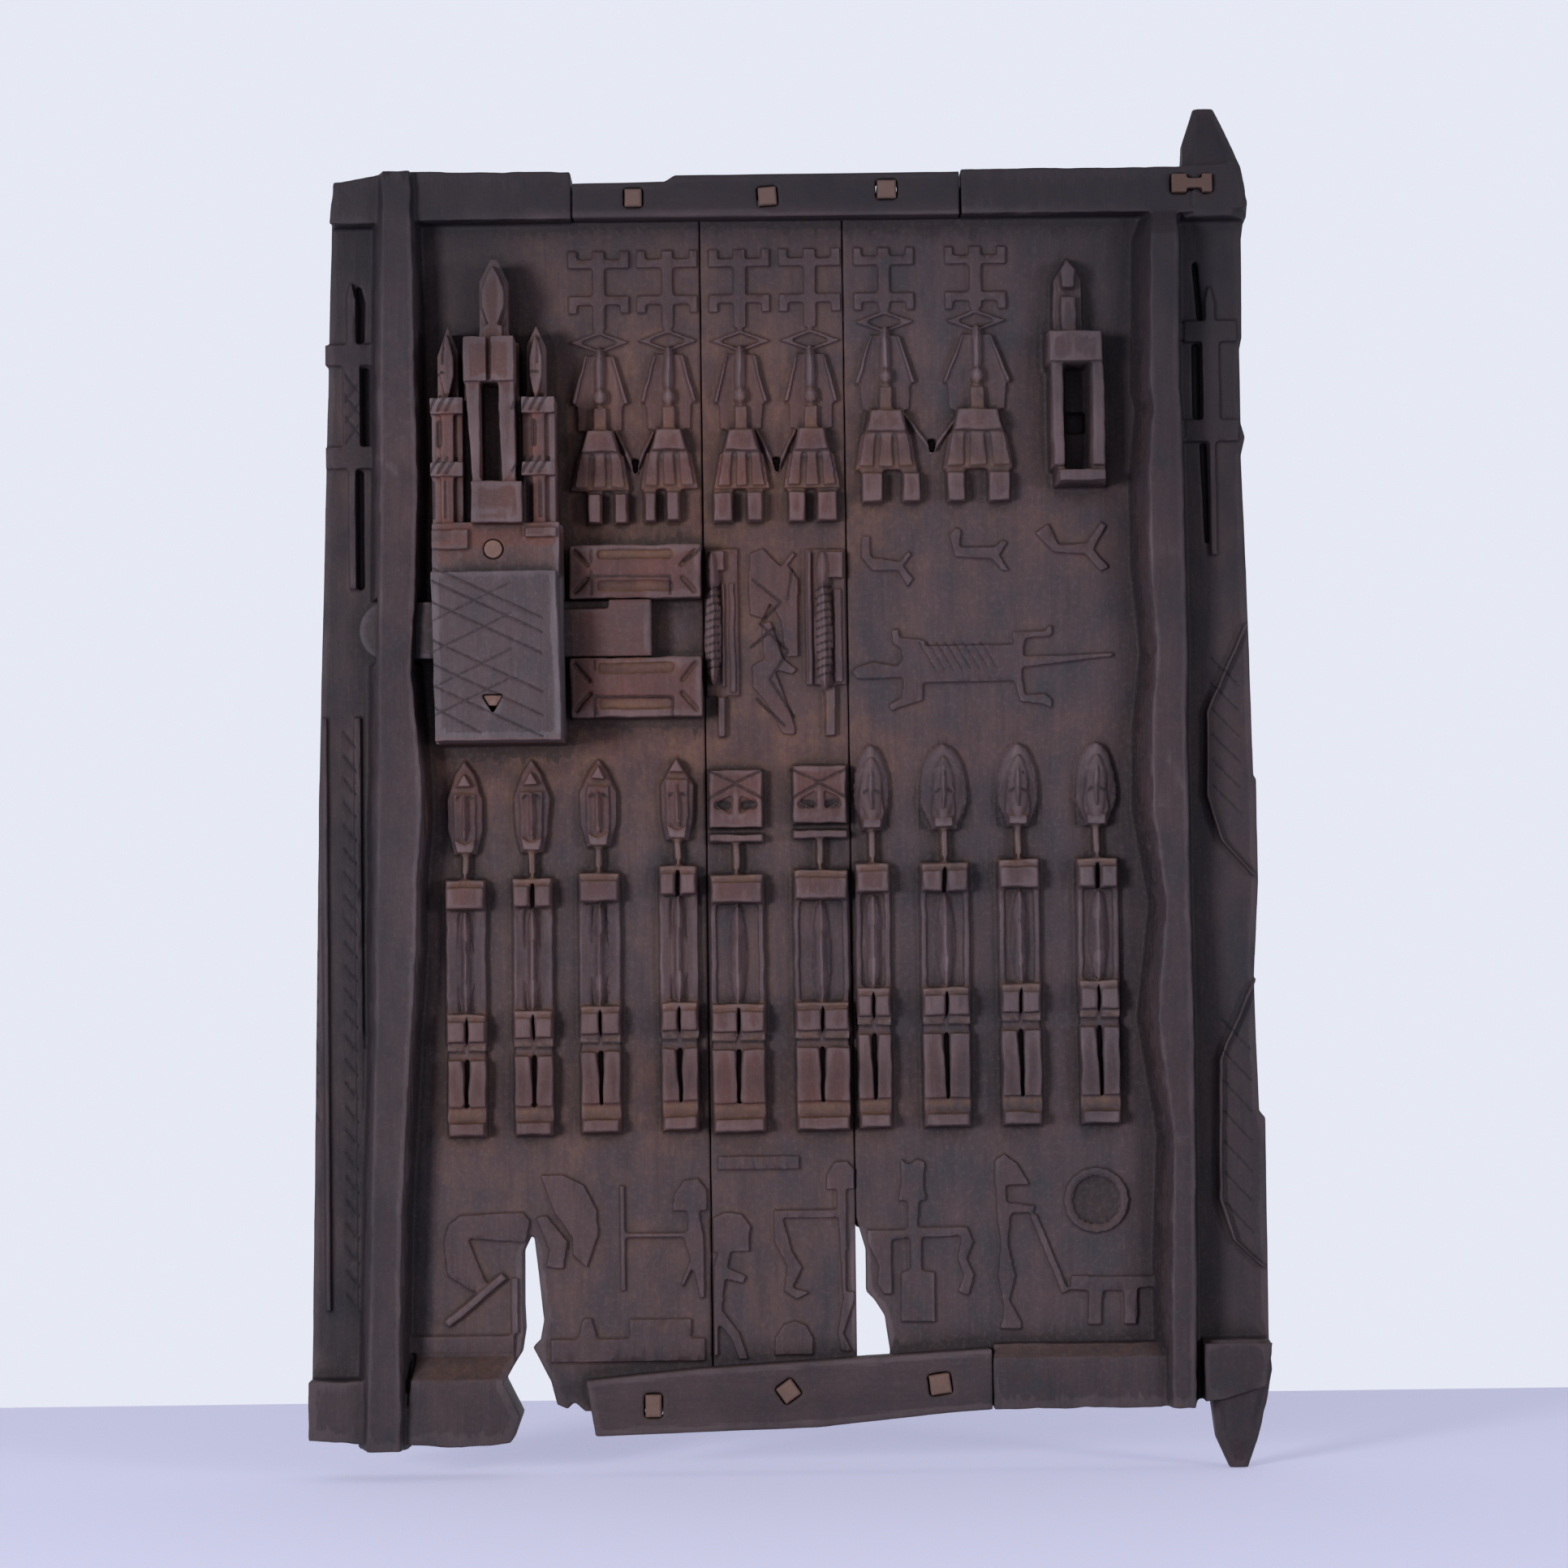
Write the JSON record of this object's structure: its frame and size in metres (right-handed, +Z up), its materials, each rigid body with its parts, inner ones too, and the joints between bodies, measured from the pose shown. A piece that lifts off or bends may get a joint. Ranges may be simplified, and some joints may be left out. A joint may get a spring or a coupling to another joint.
{
  "type": "granary door",
  "caption": "Carved plank granary door with end pivots, pegged battens, raised bars, relief figures and a figured wooden lock with a sliding bolt.",
  "frame": {"origin": "tip of the bottom pivot, on the axis that the door turns about", "axes": "+Z up along the pivot axis, the carved front faces -Y, +X towards the hinge edge (the viewer's right)"},
  "size_m": [0.4084, 0.061, 0.5825],
  "materials": {
    "plank_wood": "dark hand-carved hardwood with old smoke and handling patina",
    "lock_wood": "dark carved wood, polished by handling",
    "peg_wood": "paler whittled wood",
    "repair_wood": "lighter brown wood, rubbed"
  },
  "bodies": {
    "door": {"left_plank": "plank_wood", "centre_plank": "plank_wood", "right_plank": "plank_wood", "top_batten": "plank_wood", "bottom_batten": "plank_wood", "top_peg_left": "peg_wood", "top_peg_middle": "peg_wood", "top_peg_right": "peg_wood", "bottom_peg_left": "peg_wood", "bottom_peg_middle": "peg_wood", "bottom_peg_right": "peg_wood", "lock_case": "lock_wood", "upper_lock_peg": "peg_wood", "lower_lock_peg": "peg_wood", "repair_key": "repair_wood"},
    "bolt": {"lock_bolt": "lock_wood"},
    "left_pin": {"tumbler_left": "peg_wood"},
    "right_pin": {"tumbler_right": "peg_wood"}
  },
  "joints": [
    {"name": "bolt_slide", "type": "slide", "parent": "door", "child": "bolt", "axis": [1, 0, 0], "range_m": [-0.035, 0.0205]},
    {"name": "tumbler_left_lift", "type": "slide", "parent": "door", "child": "left_pin", "axis": [0, 0, 1], "range_m": [0, 0.004]},
    {"name": "tumbler_right_lift", "type": "slide", "parent": "door", "child": "right_pin", "axis": [0, 0, 1], "range_m": [0, 0.004]}
  ]
}
